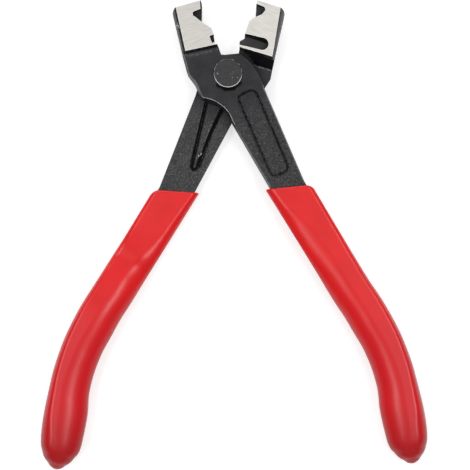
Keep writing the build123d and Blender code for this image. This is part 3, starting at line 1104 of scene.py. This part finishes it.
@dataclass
class DippedGrip:
    """One handle's vinyl sleeve, swept along the handle by Geometry Nodes.

    lean, heading, bend and mouth_tilt are in degrees. lean turns the sleeve about the pivot,
    shift moves its mouth sideways, and mouth is where the mouth's plane crosses the handle.
    """

    side: Side
    lean: float = 0.0
    shift: float = 0.0
    start: Span = (-0.75 * MM, -44.0 * MM)
    heading: float = -101.5
    first_run: float = 55.5 * MM
    bend: float = 20.0
    bend_radius: float = 75.0 * MM
    bend_steps: int = 40
    last_run: float = 41.2 * MM
    width: float = 15.5 * MM
    mouth: Span = (-2.75 * MM, -49.0 * MM)
    mouth_tilt: float = 17.5
    rings: int = 190
    facets: int = 97

    def route(self) -> list[Vector]:
        """Draw the handle's middle line: a run, a bend and a run.

        Returns:
            Its points in the handle's own frame.
        """
        turn, bend = math.radians(self.heading), math.radians(self.bend)
        step = bend / self.bend_steps
        chord = 2.0 * self.bend_radius * math.sin(0.5 * step)
        chords = [(chord, turn + (number + 0.5) * step) for number in range(self.bend_steps)]
        points = [Vector((*self.start, 0.0))]
        for length, ahead in [(self.first_run, turn), *chords, (self.last_run, turn + bend)]:
            points.append(points[-1] + length * Vector((math.cos(ahead), math.sin(ahead), 0.0)))
        return points

    def mouth_line(self) -> Span:
        """Cross the route by the mouth's slanted plane.

        Returns:
            Where they meet along the route, and how that moves across it.
        """
        tilt, turn = math.radians(self.mouth_tilt), math.radians(self.heading)
        normal = Vector((-math.sin(tilt), math.cos(tilt)))
        ahead = Vector((math.cos(turn), math.sin(turn)))
        side = Vector((-math.sin(turn), math.cos(turn)))
        gap = Vector((self.mouth[0] + self.shift, self.mouth[1])) - Vector(self.start)
        fall = normal.dot(ahead)
        return normal.dot(gap) / fall, -normal.dot(side) / fall

    def sweep(self, name: str, tree: NodeTree, finish: Material) -> Mesh:
        """Sweep the sections along the route.

        Args:
            name: The piece's name.
            tree: The node group that sweeps them.
            finish: The vinyl.

        Returns:
            The plain mesh, in the handle's own frame.
        """
        points = self.route()
        line = bpy.data.meshes.new(f"{name}_route")
        line.from_pydata(points, [(i, i + 1) for i in range(len(points) - 1)], [])
        path = placed(f"{name}_route", line)
        modifier = path.modifiers.new("sweep", "NODES")
        modifier.node_group = tree
        start, slope = self.mouth_line()
        values = {"Rings": self.rings, "Facets": self.facets, "Width": self.width, "Shift": self.shift}
        values |= {"Mouth Start": start, "Mouth Slope": slope, "Finish": finish}
        for socket in tree.interface.items_tree:
            if socket.in_out == "INPUT" and socket.name in values:
                modifier[socket.identifier] = values[socket.name]
        bpy.context.view_layer.update()
        evaluated = path.evaluated_get(bpy.context.evaluated_depsgraph_get())
        mesh = bpy.data.meshes.new_from_object(evaluated)
        mesh.name = name
        path.modifiers.clear()
        bpy.data.objects.remove(path)
        return mesh

    def build(self, tree: NodeTree, finish: Material) -> Object:
        """Build the sleeve.

        Args:
            tree: The node group that sweeps the sections.
            finish: The vinyl.

        Returns:
            The piece, riding on its body.
        """
        name = f"{self.side.value}_grip_vinyl"
        mesh = self.sweep(name, tree, finish)
        mesh.transform(seat_matrix(self.side) @ Matrix.Rotation(math.radians(-self.lean), 4, "Z"))
        shape = bmesh.new()
        shape.from_mesh(mesh)
        bmesh.ops.recalc_face_normals(shape, faces=shape.faces)
        shape.to_mesh(mesh)
        shape.free()
        piece = placed(name, mesh)
        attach(piece, self.side.body)
        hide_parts(f"{self.side.value}_grip")
        return piece


GRIPS = (DippedGrip(Side.FRONT, lean=3.3, shift=-1.85 * MM), DippedGrip(Side.REAR))


@dataclass
class Rivet:
    """The pivot rivet, turned from a profile of radii and heights in mm.

    smooth_below is the largest angle between two faces, in degrees, that is shaded smooth.
    """

    tail: tuple[Span, ...] = ((0.0, 0.0), (4.35, 0.0), (4.62, 0.1), (4.7, 0.35), (4.7, 1.25))
    shank: tuple[Span, ...] = ((3.5, 1.25), (3.5, 12.95))
    head: tuple[Span, ...] = ((5.35, 12.95), (5.42, 13.0), (5.45, 13.1), (5.45, 13.9), (5.41, 14.05))
    rim: tuple[Span, ...] = ((5.3, 14.17), (5.12, 14.23), (4.85, 14.25), (4.4, 14.22))
    face: tuple[Span, ...] = ((3.2, 14.19), (1.6, 14.18), (0.0, 14.18))
    facets: int = 120
    smooth_below: float = 40.0

    def build(self, finish: Material) -> Object:
        """Build the rivet.

        Args:
            finish: Its material.

        Returns:
            The piece, riding on the front half.
        """
        shape = bmesh.new()
        rings = []
        for radius, height in self.tail + self.shank + self.head + self.rim + self.face:
            count = self.facets if radius else 1
            turns = (2.0 * math.pi * number / count for number in range(count))
            places = ((radius * math.cos(turn), radius * math.sin(turn), height) for turn in turns)
            rings.append([shape.verts.new(Vector(place) * MM) for place in places])
        for low, high in zip(rings, rings[1:]):
            for number in range(self.facets):
                corners = ((low, number), (low, number + 1), (high, number + 1), (high, number))
                shape.faces.new(list(dict.fromkeys(ring[index % len(ring)] for ring, index in corners)))
        bmesh.ops.recalc_face_normals(shape, faces=shape.faces)
        mesh = bpy.data.meshes.new("pivot_rivet_turned")
        shape.to_mesh(mesh)
        shape.free()
        smooth(mesh, self.smooth_below)
        mesh.materials.append(finish)
        piece = placed("pivot_rivet_turned", mesh)
        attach(piece, "front_half")
        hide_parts("pivot_rivet")
        return piece


@dataclass(frozen=True)
class SoftBox:
    """A soft box that faces the pliers: place and size in metres, power in watts."""

    name: str
    place: Point
    size: Span
    power: float
    mirrored: bool = True
    aim: Point = (0.0, -0.06, 0.0)

    def build(self) -> Object:
        """Hang the box.

        Returns:
            The lamp.
        """
        data = bpy.data.lights.new(self.name, "AREA")
        data.shape = "RECTANGLE"
        data.size, data.size_y = self.size
        data.energy = self.power
        lamp = placed(self.name, data)
        lamp.location = self.place
        aim = Vector(self.aim) - Vector(self.place)
        lamp.rotation_euler = aim.to_track_quat("-Z", "Y").to_euler()
        lamp.visible_glossy = self.mirrored
        return lamp


@dataclass
class Studio:
    """The bench, the lamps and the camera of the photograph.

    bench_white and bench_fade set how white the bench shows near the pliers, and where it turns
    fully white. ceiling and horizon are the room's strengths, zenith where the ceiling begins and
    white_edge where the mirrored room turns white, both as heights of a direction.
    """

    frame_width: float = 178.6 * MM
    centre: Span = (2.66 * MM, -61.48 * MM)
    distance: float = 550.0 * MM
    sensor: float = 36.0
    focus_level: float = 12.95 * MM
    view_end: float = 20.0
    bench_size: float = 6.0
    bench_grey: Colour = (0.6, 0.6, 0.6, 1.0)
    bench_roughness: float = 0.9
    bench_white: float = 0.6
    bench_fade: Span = (0.3, 1.4)
    ceiling: float = 0.5
    horizon: float = 0.22
    zenith: Span = (0.75, 0.98)
    white_edge: Span = (0.3, 0.05)
    boxes: tuple[SoftBox, ...] = (
        SoftBox("far_box", (-0.1, 0.92, 0.8), (0.7, 0.35), 5.3),
        SoftBox("near_box", (0.1, -1.0, 0.55), (0.9, 0.25), 1.1, mirrored=False),
        SoftBox("left_box", (-0.43, -0.08, 1.0), (0.7, 0.12), 3.6),
        SoftBox("right_box", (0.43, -0.08, 1.0), (0.7, 0.12), 3.6),
    )

    def camera(self) -> None:
        """Look straight down at the pliers, as the photograph does."""
        data = bpy.data.cameras.new("camera")
        data.sensor_width = self.sensor
        data.lens = self.sensor * self.distance / self.frame_width
        data.clip_end = self.view_end
        camera = placed("camera", data)
        camera.location = (*self.centre, self.focus_level + self.distance)
        bpy.context.scene.camera = camera

    def bench(self) -> None:
        """Lay the white bench that the pliers lie on."""
        bpy.ops.mesh.primitive_plane_add(size=self.bench_size, location=(0.0, 0.0, 0.0))
        bench = bpy.context.object
        bench.name = "bench"
        paint = Paint("white_bench")
        rays = paint.add("ShaderNodeLightPath").outputs
        seen = paint.most(rays["Is Camera Ray"], rays["Is Glossy Ray"], rays["Is Transmission Ray"])
        away = paint.ramp(paint.vector("LENGTH", paint.place), *self.bench_fade)
        white = paint.line(away, 1.0 - self.bench_white, self.bench_white)
        look = {
            "Base Color": self.bench_grey,
            "Roughness": self.bench_roughness,
            "Specular IOR Level": 0.0,
            "Emission Color": WHITE,
            "Emission Strength": paint.times(seen, white),
        }
        bench.data.materials.append(paint.finish(look))

    def world(self) -> None:
        """Set up a white room, dimmer towards the horizon, that the camera sees pure white."""
        world = bpy.data.worlds.new("white_room")
        bpy.context.scene.world = world
        world.use_nodes = True
        graph = Graph(world.node_tree)
        height = graph.parts(graph.add("ShaderNodeTexCoord").outputs["Generated"])[2]
        room = graph.line(graph.ramp(height, *self.zenith), self.ceiling - self.horizon, self.horizon)
        rays = graph.add("ShaderNodeLightPath").outputs
        mirrored = graph.most(rays["Is Glossy Ray"], rays["Is Transmission Ray"])
        mirrored = graph.times(mirrored, graph.ramp(height, *self.white_edge))
        strength = graph.most(room, rays["Is Camera Ray"], mirrored)
        graph.feed(world.node_tree.nodes["Background"], {"Color": WHITE, "Strength": strength})

    def build(self) -> None:
        """Set up the whole studio."""
        self.camera()
        self.bench()
        self.world()
        for box in self.boxes:
            box.build()
        bpy.context.scene.view_settings.view_transform = "Standard"


def main() -> None:
    """Build the pliers' pieces and the studio, and log each piece's face count."""
    logging.basicConfig(level=logging.INFO, format="%(message)s")
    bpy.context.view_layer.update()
    pieces = [LeverDress(finish).build() for finish in FINISHES]
    vinyl = DippedVinyl().build()
    sweep = GripTree().build()
    pieces += [grip.build(sweep, vinyl) for grip in GRIPS]
    pieces.append(Rivet().build(RivetBlack().build()))
    for piece in pieces:
        LOG.info("%s: %d faces", piece.name, len(piece.data.polygons))
    Studio().build()


if __name__ == "__main__":
    main()
